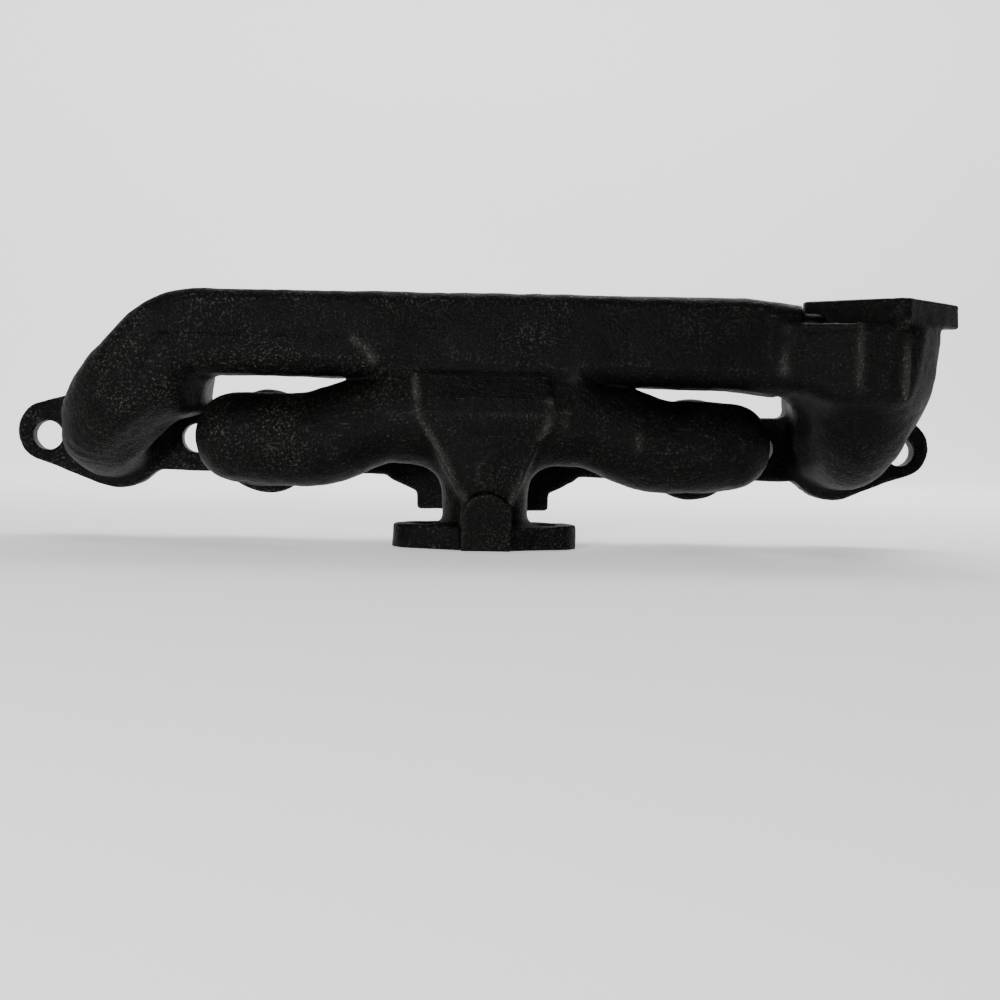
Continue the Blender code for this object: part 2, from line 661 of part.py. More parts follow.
def make_carb_flange():
    flange = section("carburettor_flange", *prism_shape(
        carb_outline(), upright, 0.0, CARB_FLANGE_THICKNESS), 0.026)
    holes = [("carb_bore", 0, CARB_BORE_RADIUS), ("carb_bolt_left", -CARB_BOLT_X, CARB_BOLT_RADIUS),
             ("carb_bolt_right", CARB_BOLT_X, CARB_BOLT_RADIUS)]
    for name, x, radius in holes:
        combine(flange, cutter(name, *prism_shape(
            circle(x, CARB_DEPTH, radius), upright, -0.002, CARB_FLANGE_THICKNESS + 0.002)))


# ---- build --------------------------------------------------------------------------

for old in list(bpy.data.objects):
    bpy.data.objects.remove(old, do_unlink=True)

make_head_row()
make_log()
make_centre_branch()
make_left_elbow()
make_right_elbow()
make_riser()
make_outlet_flange()
make_runner("left", -1)
make_runner("right", 1)
make_box()
make_neck()
make_pad()
make_carb_flange()
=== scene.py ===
import math
import bpy
import numpy as np
from mathutils import Matrix, Vector


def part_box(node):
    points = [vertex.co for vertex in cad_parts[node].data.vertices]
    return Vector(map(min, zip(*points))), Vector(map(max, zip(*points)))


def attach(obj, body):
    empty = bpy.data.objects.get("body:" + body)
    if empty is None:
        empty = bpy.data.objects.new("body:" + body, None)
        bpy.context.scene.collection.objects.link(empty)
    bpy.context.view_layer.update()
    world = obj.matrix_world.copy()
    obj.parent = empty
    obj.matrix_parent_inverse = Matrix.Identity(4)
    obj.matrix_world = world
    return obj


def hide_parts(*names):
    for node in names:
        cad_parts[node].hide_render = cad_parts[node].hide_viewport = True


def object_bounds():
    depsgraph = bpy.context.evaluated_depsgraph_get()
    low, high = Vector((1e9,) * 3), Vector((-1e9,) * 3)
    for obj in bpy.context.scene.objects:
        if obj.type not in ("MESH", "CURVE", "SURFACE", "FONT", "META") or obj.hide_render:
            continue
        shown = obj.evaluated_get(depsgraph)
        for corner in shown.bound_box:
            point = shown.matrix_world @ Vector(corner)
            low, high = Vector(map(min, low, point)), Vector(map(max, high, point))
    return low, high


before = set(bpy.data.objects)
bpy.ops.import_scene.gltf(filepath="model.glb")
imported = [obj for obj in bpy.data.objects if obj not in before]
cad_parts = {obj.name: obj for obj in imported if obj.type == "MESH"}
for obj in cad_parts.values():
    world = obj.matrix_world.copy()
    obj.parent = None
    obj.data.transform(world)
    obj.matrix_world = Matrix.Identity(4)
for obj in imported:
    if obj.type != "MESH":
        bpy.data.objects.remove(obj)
cadLow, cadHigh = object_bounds()

# The manifold is one iron casting, so it is worked out as one field over a grid of points
# (below zero is iron) and then parted into its casting sections along the CAD's joints.
# Places are in millimetres: x along the engine, d in front of the head face, z up.

metre = 1000.0
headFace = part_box("centre_port_flange")[1].y


def spot(node):                       # a CAD node's extent as low and high x, d and z
    low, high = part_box(node)
    return {"x": (low.x * metre, high.x * metre),
            "d": ((headFace - high.y) * metre, (headFace - low.y) * metre),
            "z": (low.z * metre, high.z * metre)}


def middle(pair):
    return (pair[0] + pair[1]) / 2


# sums on fields: a field is the distance to a shape's skin, less than zero inside

def softMin(a, b, soft):              # the lesser of two, blended over a band 'soft' wide
    if soft <= 0:
        return np.minimum(a, b)
    share = np.clip(0.5 + 0.5 * (b - a) / soft, 0, 1)
    return b + (a - b) * share - soft * share * (1 - share)


def softMax(a, b, soft):
    return -softMin(-a, -b, soft)


def roundRect(a, b, halfA, halfB, corner):     # past the corner's centre, length; else the side
    outA = np.abs(a) - halfA + corner
    outB = np.abs(b) - halfB + corner
    far = np.hypot(np.maximum(outA, 0), np.maximum(outB, 0))
    return far + np.minimum(np.maximum(outA, outB), 0) - corner


def plate(flat, level, low, high, edge):       # a flat outline carried from low to high
    outA = flat + edge
    outB = np.abs(level - (low + high) / 2) - (high - low) / 2 + edge
    far = np.hypot(np.maximum(outA, 0), np.maximum(outB, 0))
    return far + np.minimum(np.maximum(outA, outB), 0) - edge


def taper(along, across, reach, near, tip):    # two circles and the lines that touch both
    lean = (near - tip) / reach
    flat = math.sqrt(1 - lean * lean)
    across = np.abs(across)
    place = along * flat - across * lean
    sides = across * flat + along * lean - near
    ends = np.where(place < 0, np.hypot(along, across) - near,
                    np.hypot(along - reach, across) - tip)
    return np.where((place < 0) | (place > flat * reach), ends, sides)


def sides(x, d, corners, soft):        # a convex outline: the furthest of its half planes
    found = None
    for (x0, d0), (x1, d1) in zip(corners, corners[1:] + corners[:1]):
        length = math.hypot(x1 - x0, d1 - d0)
        out = ((x - x0) * (d1 - d0) - (d - d0) * (x1 - x0)) / length
        found = out if found is None else softMax(found, out, soft)
    return found


def curve(points, count):              # a Catmull-Rom curve through rows of numbers
    rows = np.array(points, float)
    rows = np.vstack([2 * rows[0] - rows[1], rows, 2 * rows[-1] - rows[-2]])
    place = np.linspace(0, len(rows) - 3.0001, count)
    k = place.astype(int)
    t = (place - k)[:, None]
    a, b, c, e = rows[k], rows[k + 1], rows[k + 2], rows[k + 3]
    return 0.5 * (2 * b + (c - a) * t + (2 * a - 5 * b + 4 * c - e) * t ** 2
                  + (3 * b - a - 3 * c + e) * t ** 3)


def nearest(x, d, z, path):            # how far the path's closest place is, and where it is
    best = np.full(np.broadcast_shapes(x.shape, d.shape, z.shape), 1e9, np.float32)
    place = np.zeros_like(best)
    for k, (start, end) in enumerate(zip(path[:-1, :3], path[1:, :3])):
        step = (end - start).astype(np.float32)
        ax, ad, az = x - start[0], d - start[1], z - start[2]
        t = np.clip((ax * step[0] + ad * step[1] + az * step[2]) / (step @ step), 0, 1)
        gap = (ax - t * step[0]) ** 2 + (ad - t * step[1]) ** 2 + (az - t * step[2]) ** 2
        closer = gap < best
        best = np.where(closer, gap, best)
        place = np.where(closer, k + t, place)
    return np.sqrt(best), place


def tube(x, d, z, path):               # a round tube; a path row is x, d, z and the radius
    gap, place = nearest(x, d, z, path)
    return gap - np.interp(place, np.arange(len(path)), path[:, 3]).astype(np.float32)


def sweep(x, d, z, rows):
    # a rounded rectangle carried along a path: a row is x, d, z, half the level width, half
    # the other width and its upper and lower corners; a point takes the closest row
    gap, place = nearest(x, d, z, rows)
    step = np.gradient(rows[:, :3], axis=0)
    step /= np.linalg.norm(step, axis=1)[:, None]
    across = np.cross(step, (0.0, 0.0, 1.0))
    across /= np.linalg.norm(across, axis=1)[:, None]
    upward = np.cross(across, step)
    knots = np.arange(len(rows))
    cx, cd, cz, halfA, halfB, top, bottom, ax, ad, az, ux, ud, uz = (
        np.interp(place, knots, line).astype(np.float32)
        for line in np.hstack([rows, across, upward]).T)
    a = (x - cx) * ax + (d - cd) * ad + (z - cz) * az
    b = (x - cx) * ux + (d - cd) * ud + (z - cz) * uz
    flat = roundRect(a, b, halfA, halfB, np.where(b > 0, top, bottom))
    return np.maximum(flat, pastEnds(x, d, z, rows[:, :3]))


def pastEnds(x, d, z, path):           # how far a point lies beyond either end of a path
    over = None
    for end, inner in ((path[0], path[1]), (path[-1], path[-2])):
        out = (end - inner) / np.linalg.norm(end - inner)
        reach = (x - end[0]) * out[0] + (d - end[1]) * out[1] + (z - end[2]) * out[2]
        over = reach if over is None else np.maximum(over, reach)
    return over.astype(np.float32)


def fan(x, d, z, pivot, rows):
    # a section that turns about a level line along x through the pivot (d, z): the radius
    # and the angle below the line replace d and z, and a row holds the angle and there the
    # centre's x and radius, the half width, the half radial size and the corner
    ahead, below = d - pivot[0], pivot[1] - z
    radius = np.hypot(ahead, below)
    angle = np.degrees(np.arctan2(below, np.maximum(ahead, 1e-3)))
    rows = np.array(rows, float)
    cx, cr, halfX, halfR, corner = (
        np.interp(angle, rows[:, 0], rows[:, k]).astype(np.float32) for k in range(1, 6))
    return roundRect(x - cx, radius - cr, halfX, halfR, corner)


class Block:                           # the grid that holds the iron, the bores and the noise
    def __init__(self, low, high, step):
        self.step = step
        self.low = np.array(low, float)
        self.count = np.ceil((np.array(high) - self.low) / step).astype(int) + 1
        self.iron = np.full(self.count, 60, np.float32)
        self.hollow = np.full(self.count, 60, np.float32)
        self.beads = np.zeros(self.count, np.float32)

    def part(self, x, d, z):           # the slices and open axes of one box of the grid
        cuts, axes = [], []
        for k, (low, high) in enumerate((x, d, z)):
            first = max(int((low - self.low[k]) / self.step), 0)
            last = min(int((high - self.low[k]) / self.step) + 2, self.count[k])
            line = (self.low[k] + np.arange(first, last) * self.step).astype(np.float32)
            cuts.append(slice(first, last))
            axes.append(line.reshape([-1 if n == k else 1 for n in range(3)]))
        return tuple(cuts), axes

    def add(self, box, shape, soft, wall=None):
        where, axes = self.part(*box)
        found = shape(*axes)
        self.iron[where] = softMin(self.iron[where], found, soft)
        if wall is not None:
            self.hollow[where] = softMin(self.hollow[where], found + wall, 2.0)

    def bore(self, box, shape, soft=1.5):
        where, axes = self.part(*box)
        self.hollow[where] = softMin(self.hollow[where], shape(*axes), soft)

    def drill(self, box, shape):       # cut clean by a tool, after the casting is rough
        where, axes = self.part(*box)
        self.iron[where] = np.maximum(self.iron[where], -shape(*axes))

    def proud(self, box, points, height, width, lumps):    # a bead, or a groove, along a line
        where, axes = self.part(*box)
        gap, _ = nearest(*axes, np.array(points, float))
        rise = height * np.exp(-(gap / width) ** 2) * np.clip(1 + lumps[where], 0.1, 2.2)
        self.iron[where] -= rise
        self.beads[where] += np.maximum(rise, 0)

    def noise(self, spacing, seed):    # random heights on a coarse lattice, spline between
        rng = np.random.default_rng(seed)
        shape, weights = [], []
        for k in range(3):
            place = np.arange(self.count[k]) * self.step / spacing + 1
            cells = int(place[-1]) + 4
            t = place - np.floor(place)
            base = np.floor(place).astype(int)
            weight = np.zeros((self.count[k], cells), np.float32)
            rows = np.arange(self.count[k])
            weight[rows, base - 1] = (1 - t) ** 3 / 6
            weight[rows, base] = (3 * t ** 3 - 6 * t ** 2 + 4) / 6
            weight[rows, base + 1] = (-3 * t ** 3 + 3 * t ** 2 + 3 * t + 1) / 6
            weight[rows, base + 2] = t ** 3 / 6
            shape.append(cells)
            weights.append(weight)
        heights = rng.normal(0, 2.2, shape).astype(np.float32)
        for k in range(3):
            heights = np.moveaxis(np.tensordot(weights[k], heights, (1, k)), 0, k)
        return heights


# the casting's sizes, from the frame where it holds them
log = {"x": spot("exhaust_log")["x"], "d": spot("exhaust_log")["d"],
       "topLeft": 97.3, "topRight": 98.8, "endDrop": 2.6, "heightLeft": 31.8, "heightRight": 35.6,
       "cornerTop": 5.5, "cornerBottom": 9.5, "wall": 4.8,
       "straight": (119, -98), "steps": 12}
rowEnd = spot("right_stud_ear")["x"][1]
row = {"thick": spot("left_stud_ear")["d"][1], "height": middle(spot("left_stud_ear")["z"]),
       "studX": rowEnd - 12.2, "earRadius": 12.2, "earLift": 1.5,
       "portX": rowEnd - 40.5, "portLobe": 21.0,
       "intakeX": rowEnd - 101.9, "intakeLobe": 21.1, "intakeDrop": 0.8,
       "innerStudX": rowEnd - 72.7, "stripHalf": 13.4, "edge": 1.4,
       "lugHalf": 27.4, "lugShift": 1.2, "lugFoot": 12.4,
       "lugStep": [(-27, 19.4), (27, 19.4), (39, 25.4), (39, 40), (-39, 40), (-39, 25.4)],
       "holeRadius": 6.0, "seatRadius": 10.2, "seatDepth": 0.6}
carb = {"d": middle(spot("carburettor_flange")["d"]), "thick": spot("carburettor_flange")["z"][1],
        "halfDepth": 22.0, "boltX": 23.8, "earRadius": 12.1, "bore": 11.0, "boltRadius": 4.5,
        "neck": 16.8, "neckTop": 40, "neckFoot": 2}
outlet = {"x": middle(spot("outlet_flange")["x"]) - 0.4, "d": middle(spot("outlet_flange")["d"]),
          "face": spot("outlet_flange")["z"][1], "under": spot("outlet_flange")["z"][0],
          "reach": 31.2, "flat": 2.2, "bore": 15.0, "studs": 24.5, "studRadius": 4.2,
          "frontStud": 12.0, "backStud": 0.2}
wall = 4.5
logMid = middle(log["d"])
logHalf = (log["d"][1] - log["d"][0]) / 2


def logTop(x):
    return np.interp(x, (-110, 113, 120), (log["topLeft"], log["topRight"],
                                           log["topRight"] - log["endDrop"])).astype(np.float32)


def logFloor(x):
    height = np.interp(x, (-98, 114), (log["heightLeft"], log["heightRight"]))
    return logTop(x) - height.astype(np.float32)


def headRow(x, d, z):                  # lobes round the ports, ears, a strip and a lug
    up = z - row["height"]
    side = np.abs(x)
    flat = roundRect(x, up, row["portX"], row["stripHalf"], 1.0)
    lift = row["earLift"] * np.clip((side - row["portX"]) / 27, 0, 1)
    flat = softMin(flat, taper(side - row["portX"], up - lift, row["studX"] - row["portX"],
                               row["portLobe"], row["earRadius"]), 2.0)
    flat = softMin(flat, np.hypot(side - row["intakeX"], up + row["intakeDrop"])
                   - row["intakeLobe"], 3.0)
    flat = softMin(flat, np.hypot(x, up) - row["portLobe"], 3.0)
    foot = (row["lugFoot"] - row["height"]) / 2
    lug = roundRect(x - row["lugShift"], up - foot, row["lugHalf"], -foot, 1.4)
    step = sides(x - row["lugShift"], z, row["lugStep"], 1.5)
    flat = softMin(flat, softMin(lug, step, 1.5), 2.0)
    return plate(flat, d, -6.0, row["thick"], row["edge"])


# the left bend: places on it as x, d, z, then at shares of its length the half level width,
# the other half width and the upper and lower corners
leftBend = {"path": [(-112, logMid, 81.4), (-119.5, logMid, 79.4), (-125.3, logMid, 75.2),
                     (-130.8, 41.6, 69.0), (-137.2, 40.4, 60.8), (-143.8, 37.0, 52.4),
                     (-149.6, 30.0, 45.2), (-150.6, 20, 41.0), (-150.2, 10, row["height"]),
                     (-149.8, 3, row["height"])],
            "shares": (0, 0.3, 0.55, 0.8, 1),
            "sizes": [[22, 16.2, 6, 8], [19, 16.4, 9, 10], [16.8, 16.6, 16, 16],
                      [16.4, 16.4, 16.3, 16.3]],
            "steps": 44}


def logRows():                         # straight from the outlet block, then down to the left port
    x = np.linspace(*log["straight"], log["steps"])
    top, floor = logTop(x), logFloor(x)
    full = np.full(len(x), 1.0)
    straight = np.stack([x, full * logMid, (top + floor) / 2, full * logHalf, (top - floor) / 2,
                         full * log["cornerTop"], full * log["cornerBottom"]], 1)
    steps = leftBend["steps"]
    turned = curve([straight[-1, :3]] + leftBend["path"], steps)
    share = np.linspace(0, 1, steps)[:, None]
    sizes = np.array([straight[-1, 3:]] + leftBend["sizes"])
    sizes = np.hstack([np.interp(share, leftBend["shares"], line)
                       for line in sizes.T]).reshape(steps, 4)
    return np.vstack([straight[:-1], np.hstack([turned, sizes])])


logPath = logRows()


def logAndElbow(x, d, z):              # the log and its left bend, one rounded bar
    return sweep(x, d, z, logPath)


rightPath = curve([(152.6, 44, 74, 20.5), (152.2, 44.5, 62, 20.3), (151.2, 42.5, 53, 19.4),
                   (150.4, 37, 46.5, 18.2), (149.6, 29, 42.2, 17.2), (149.0, 18, 40.4, 16.6),
                   (149.0, 4, row["height"], 16.4)], 30)


def rightElbow(x, d, z):               # a round bend from the outlet block to the right port
    return tube(x, d, z, rightPath)


branch = {"pivot": (7.0, 65.0), "top": 70,
          "rows": [(0, 0, 12.5, 23, 11.5, 8), (45, 0, 17, 21.5, 13, 10),
                   (90, 0, 24.5, 20, 15.2, 12.5)]}


def centreBranch(x, d, z):             # widens as it turns from the centre port up to the log
    return np.maximum(fan(x, d, z, branch["pivot"], branch["rows"]), z - branch["top"])


block = {"corners": [(110, 19.5), (172, 19.5), (179.4, 40), (177.6, 56), (165.2, 72.5),
                     (157.8, 76.3), (139.8, 74.6), (113.4, 65.6), (110, 64.2)],
         "leanFrom": (84, 70), "leans": (0.14, 0.12), "leanX": (140, 30),
         "floorX": (111, 132), "floorZ": (65.5, 57.0), "topGap": 0.4}


def riserFloor(x):
    return np.interp(x, block["floorX"], block["floorZ"]).astype(np.float32)


def riser(x, d, z):                    # a block with soft ridges and a sloping underside
    lean = sum(np.maximum(start - z, 0) * slope
               for start, slope in zip(block["leanFrom"], block["leans"]))
    share = np.clip((x - block["leanX"][0]) / block["leanX"][1], 0, 1)
    flat = sides(x + lean * share, d, block["corners"], 1.1)
    low = softMax(flat, (riserFloor(x) - z) * 0.9, 9.0)
    return softMax(low, z - outlet["under"] + block["topGap"], 1.0)


webs = {"right": [(128.0, 52), (134, 34), (148, 34), (148, 72), (127.6, 72)],
        "rightFront": ((36, 52, 68), (18, 28, 44)),
        "left": [(-146, 40), (-134, 43), (-110, 50.5), (-108.5, 64), (-107, 76), (-124, 78),
                 (-133, 64)],
        "leftFront": ((40, 52, 64, 74), (44, 54, 62.5, 63.5)),
        "leftPlan": [(-150, 0), (-109, 0), (-109.5, 32), (-120, 61), (-124, 72), (-150, 72)],
        "shoulder": [(108, 25), (131, 35), (131, 58), (120, 64), (108, 64)],
        "shoulderFoot": 74}


def rightWeb(x, d, z):                 # the wall at the end of the gap, from block to elbow
    front = np.interp(z, *webs["rightFront"]).astype(np.float32)
    return plate(sides(x, z, webs["right"], 4.0), d - front + 44, 0, 44, 5.0)


def shoulder(x, d, z):                 # lifts the end of the log to the flange's left tip
    flat = sides(x, d, webs["shoulder"], 2.0)
    return plate(flat, z, webs["shoulderFoot"], outlet["under"] + 4.0, 2.0)


def leftWeb(x, d, z):                  # fills the inside of the left bend, back to the head
    front = np.interp(z, *webs["leftFront"]).astype(np.float32)
    plan = softMax(sides(x, d, webs["leftPlan"], 2.0), 6 - d, 1.0)
    return softMax(softMax(sides(x, z, webs["left"], 5.0), d - front, 5.0), plan, 3.0)


def outletShape(x, d, z):              # a diamond plate with its four points cut off
    a, b = np.abs(x - outlet["x"]), np.abs(d - outlet["d"])
    flat = softMax((a + b - outlet["reach"] - outlet["flat"]) * math.sqrt(0.5),
                   np.maximum(a, b) - outlet["reach"], 0.6)
    return plate(flat, z, outlet["under"], outlet["face"] + 4, 1.1)


armRows = [(0, 49.5, 49.6, 17.2), (28, 49.5, 49.6, 17.4), (40, 49.4, 49.2, 17.5),
           (49, 49.2, 46.7, 18.1), (57, 49.0, 43.6, 18.5), (65, 48.7, 41.2, 18.4),
           (74, 48.5, 40.4, 18.1), (86, 48.2, 40.8, 17.9), (95.3, 47.6, 41.2, 17.0)]
armPath = curve(armRows, 26)


def arms(x, d, z):                     # both runners, mirrored; the far end is a blunt dome
    side = np.abs(x)
    gap, place = nearest(side, d, z, armPath)
    radius = np.interp(place, np.arange(len(armPath)), armPath[:, 3]).astype(np.float32)
    past = np.maximum(side - armRows[-1][0], 0)
    off = np.hypot(d - armRows[-1][1], z - armRows[-1][2])
    blunt = (past ** 2.2 + off ** 2.2) ** (1 / 2.2)
    return np.where(past > 0, blunt, gap) - radius


def intakeStubs(x, d, z):              # from the arms' ends back to the head, narrowing forward
    gap = np.hypot(np.abs(x) - row["intakeX"] - d * 0.06, z - row["height"])
    return np.maximum(gap - np.interp(d, (8, 22), (18.0, 16.4)), d - 46)


def neck(x, d, z):                     # a round neck up from the carburettor flange
    return np.maximum(np.hypot(x, d - carb["d"]) - carb["neck"],
                      np.maximum(z - carb["neckTop"], carb["neckFoot"] - z))


hotSpot = {"corners": [(9.4, 17), (23.2, 49), (23.6, 67.5), (-28.6, 67.5), (-27.0, 51),
                       (-8.6, 17)],
           "swellZ": (18, 36, 52, 57, 66, 70), "swellD": (67.0, 67.4, 67.6, 67.3, 64.6, 64.0)}


def box(x, d, z):                      # the block between the runners, its face swelling out
    face = np.interp(z, hotSpot["swellZ"], hotSpot["swellD"]).astype(np.float32)
    return plate(sides(x, z, hotSpot["corners"], 1.0), d - face + 66, 34, 66, 1.4)


def boxRoot(x, d, z):                  # joins the runners to the log's floor near the middle
    flat = roundRect(x + 0.5, z - 60, 41, 17, 12)
    return plate(flat, d, 36, log["d"][1] - 1.0, 6.0)


arch = {"x": -0.3, "z": 12.2, "radius": 9.6, "front": 72.6}


def pad(x, d, z):                      # an arch in front of the neck, down to the joint face
    across = x - arch["x"]
    flat = np.where(z > arch["z"], np.hypot(across, z - arch["z"]), np.abs(across))
    return plate(flat - arch["radius"], d, 58, arch["front"], 1.2)


def carbShape(x, d, z):                # an oval plate with a bolt ear at each end
    flat = taper(np.abs(x), d - carb["d"], carb["boltX"], carb["halfDepth"], carb["earRadius"])
    return plate(flat, z, -4, carb["thick"], 0.6)


# pour the casting: exhaust side, intake side, then the flanges
grid = {"step": 0.82, "margin": 4.0}
margin = grid["margin"]
iron = Block((cadLow.x * metre - margin, -margin, -margin),
             (cadHigh.x * metre + margin, (headFace - cadLow.y) * metre + margin,
              cadHigh.z * metre + margin), grid["step"])
print("casting grid", list(iron.count))

everyX = (cadLow.x * metre - 4, cadHigh.x * metre + 4)
iron.add(((-180, 124), (-4, 78), (12, 106)), logAndElbow, 0, log["wall"])
iron.add(((-156, -100), (-4, 70), (34, 92)), leftWeb, 6.0)
iron.add(((98, 192), (0, 84), (44, 98)), riser, 2.5)
iron.add(((112, 152), (0, 72), (26, 78)), rightWeb, 6.0)
iron.add(((98, 140), (16, 74), (64, 104)), shoulder, 3.0)
iron.add(((118, 186), (-4, 84), (10, 92)), rightElbow, 10.0, wall)
iron.add(((112, 200), (0, 88), (80, 106)), outletShape, 2.5)
iron.add(((-42, 42), (4, 56), (14, 78)), centreBranch, 6.0, wall)
intake = Block(iron.low, iron.low + (iron.count - 1) * iron.step, iron.step)
intake.add(((-126, 126), (20, 76), (10, 78)), arms, 0, wall)
intake.add(((-120, 120), (-4, 60), (10, 70)), intakeStubs, 4.0, wall)
intake.add(((-36, 36), (20, 80), (0, 60)), neck, 13.0)
intake.add(((-56, 56), (24, 76), (30, 88)), boxRoot, 8.0)
iron.iron = softMin(iron.iron, intake.iron, 1.6)
iron.hollow = np.minimum(iron.hollow, intake.hollow)
del intake
iron.add(((-40, 36), (24, 76), (6, 80)), box, 2.5)
iron.add(((-46, 46), (18, 82), (-4, 18)), carbShape, 4.5)
iron.add(((-18, 18), (50, 80), (-4, 32)), pad, 1.6)
iron.add((everyX, (-4, 20), (0, 72)), headRow, 4.5)
print("casting poured")

# cast roughness: three sizes of lump, each with its spacing, random seed and height
lumpSizes = [(11.0, 4, 0.16), (4.6, 7, 0.10), (2.4, 9, 0.075)]
lumps = [iron.noise(spacing, seed) for spacing, seed, _ in lumpSizes]
iron.iron += sum(height * lump for (_, _, height), lump in zip(lumpSizes, lumps))
medium = lumps[1]
del lumps

# beads where the mould's parts met: the box each can reach, its line, its height (a groove
# is less than zero), its width, and how lumpy it is
front = log["d"][1]
face = front + 3
archFront, archX, archZ = arch["front"], arch["x"], arch["z"]
beads = [
    (((-40, -2), (56, 76), (10, 76)),                       # the box between the runners
     [(-28.3, face - 2, 66), (-27.4, face, 52), (-18.4, face, 37), (-8.6, face, 18.5)],
     1.5, 1.4, 1.0),
    (((2, 36), (56, 76), (12, 62)),
     [(23.2, face, 57), (22.6, face, 48), (15.5, face, 33), (9.4, face, 18.5)], 1.5, 1.4, 1.0),
    (((22, 36), (56, 76), (36, 60)), [(29.8, 66.8, 52), (30.4, 66.5, 43)], 1.1, 1.5, 1.0),
    (((50, 66), (54, 76), (34, 52)), [(57.5, 67, 45), (57.5, 67, 39)], 0.6, 1.4, 0),
    (((-42, 30), (58, 74), (44, 58)), [(-38, 66.3, 51), (25, face, 51.2)], 0.42, 1.0, 0),
    (((-134, -44), (58, 72), (74, 88)),                     # the log's parting line
     [(-128, 64, 80.6), (-48, front, 80.6)], -0.55, 0.8, 0),
    (((132, 148), (66, 82), (54, 96)),                      # the outlet block
     [(139.8, 74.8, 92), (139.8, 74.6, 60)], 0.7, 1.6, 0.6),
    (((150, 166), (66, 84), (54, 96)), [(157.8, 76.6, 90), (157.6, 76.2, 58)], 1.2, 1.4, 1.0),
    (((116, 172), (58, 84), (80, 94)),
     [(121, 68, 86.0), (139.8, 75.0, 87.6), (157.8, 76.8, 87.8), (166, 72.5, 88.2)],
     -0.8, 1.2, 0),
    (((104, 122), (56, 74), (60, 92)),                      # the log's front
     [(113.8, front, 86), (113.2, front, 70)], 0.7, 1.8, 1.2),
    (((-58, -38), (56, 72), (60, 84)),
     [(-52, front, 79), (-46, front - 1, 74), (-43, front - 1, 68)], 0.7, 1.8, 1.3),
    (((26, 44), (56, 72), (60, 84)), [(33, front, 79), (32.5, front - 1, 66)], 0.7, 1.6, 1.3),
    (((-14, 14), (66, 78), (0, 26)),                        # the arch's rim
     [(archX - 9.6, archFront, 1), (archX - 9.6, archFront, archZ), (-7.2, archFront, 19),
      (archX, archFront, 21.8), (6.6, archFront, 19), (archX + 9.6, archFront, archZ),
      (archX + 9.6, archFront, 1)], 0.4, 0.8, 0),
    (((-8, 10), (58, 76), (22, 46)),
     [(2.2, face, 38), (-3.6, face, 31.5), (-3.8, face, 26)], 0.45, 0.9, 0)]
for reachBox, line, height, width, lumpy in beads:
    iron.proud(reachBox, line, height, width, medium * lumpy)
print("beads raised", len(beads))

# bores, then the machined faces and holes
ports = {"exhaust": 12.0, "intake": 13.5, "depth": 16, "centreHalf": (15.5, 11)}
passages = {"tee": (49.5, 48.5, 11.5), "teeHalf": 34, "throatTop": 50,
            "block": (138, 43), "blockHalf": (29, 17.5), "blockZ": (50, 84), "floor": 6,
            "outletFoot": 70, "hole": (31.5, 66), "holeHalf": (17, 5.5, 10)}
teeD, teeZ, teeRadius = passages["tee"]
iron.bore(((-34, 34), (34, 66), (30, 66)), lambda x, d, z: np.maximum(
    np.hypot(d - teeD, z - teeZ) - teeRadius, np.abs(x) - passages["teeHalf"]))
iron.bore(((-16, 16), (34, 66), (-4, 56)), lambda x, d, z: np.maximum(
    np.hypot(x, d - carb["d"]) - carb["bore"], z - passages["throatTop"]))
blockX, blockD = passages["block"]
iron.bore(((104, 180), (20, 80), (52, 92)), lambda x, d, z: softMax(plate(
    roundRect(x - blockX, d - blockD, *passages["blockHalf"], 8), z, *passages["blockZ"], 6),
    riserFloor(x) + passages["floor"] - z, 3.0))
iron.bore(((136, 178), (24, 66), (66, 104)), lambda x, d, z: np.maximum(
    np.hypot(x - outlet["x"], d - outlet["d"]) - outlet["bore"], passages["outletFoot"] - z))
holeD, holeZ = passages["hole"]
halfX, halfD, halfZ = passages["holeHalf"]           # where the centre branch opens into the log
iron.bore(((-24, 24), (8, 40), (50, 82)), lambda x, d, z: roundRect(
    x, d - holeD, halfX, halfD, 5) + np.maximum(np.abs(z - holeZ) - halfZ, 0))
portCuts = [(-row["portX"], ports["exhaust"]), (row["portX"] - 0.5, ports["exhaust"]),
            (-row["intakeX"], ports["intake"]), (row["intakeX"], ports["intake"])]
for portX, radius in portCuts:
    iron.bore(((portX - 20, portX + 20), (-4, 22), (20, 62)), lambda x, d, z: np.maximum(
        np.hypot(x - portX, z - row["height"]) - radius, d - ports["depth"]))
iron.bore(((-24, 24), (-4, 22), (20, 62)), lambda x, d, z: np.maximum(
    roundRect(x, z - row["height"], *ports["centreHalf"], 8), d - ports["depth"]))
iron.iron = softMax(iron.iron, -iron.hollow, 0.8)

for studX in (-row["studX"], -row["innerStudX"], row["innerStudX"], row["studX"]):
    iron.drill(((studX - 14, studX + 14), (-4, 24), (20, 60)), lambda x, d, z: np.maximum(
        np.hypot(x - studX, z - row["height"]) - row["seatRadius"],
        np.maximum(row["thick"] - row["seatDepth"] - d, d - ports["depth"])))
    iron.drill(((studX - 10, studX + 10), (-4, 24), (26, 54)), lambda x, d, z:
               np.hypot(x - studX, z - row["height"]) - row["holeRadius"])
for way in (-1, 1):
    boltX = way * carb["boltX"]
    iron.drill(((boltX - 8, boltX + 8), (36, 64), (-4, 18)), lambda x, d, z:
               np.hypot(x - boltX, d - carb["d"]) - carb["boltRadius"])
    studD = outlet["d"] + way * outlet["studs"]      # the front one runs on into the block
    studEnd = outlet["under"] - outlet["frontStud" if way > 0 else "backStud"]
    iron.drill(((148, 166), (studD - 8, studD + 8), (74, 106)), lambda x, d, z: np.maximum(
        np.hypot(x - outlet["x"], d - studD) - outlet["studRadius"], studEnd - z))
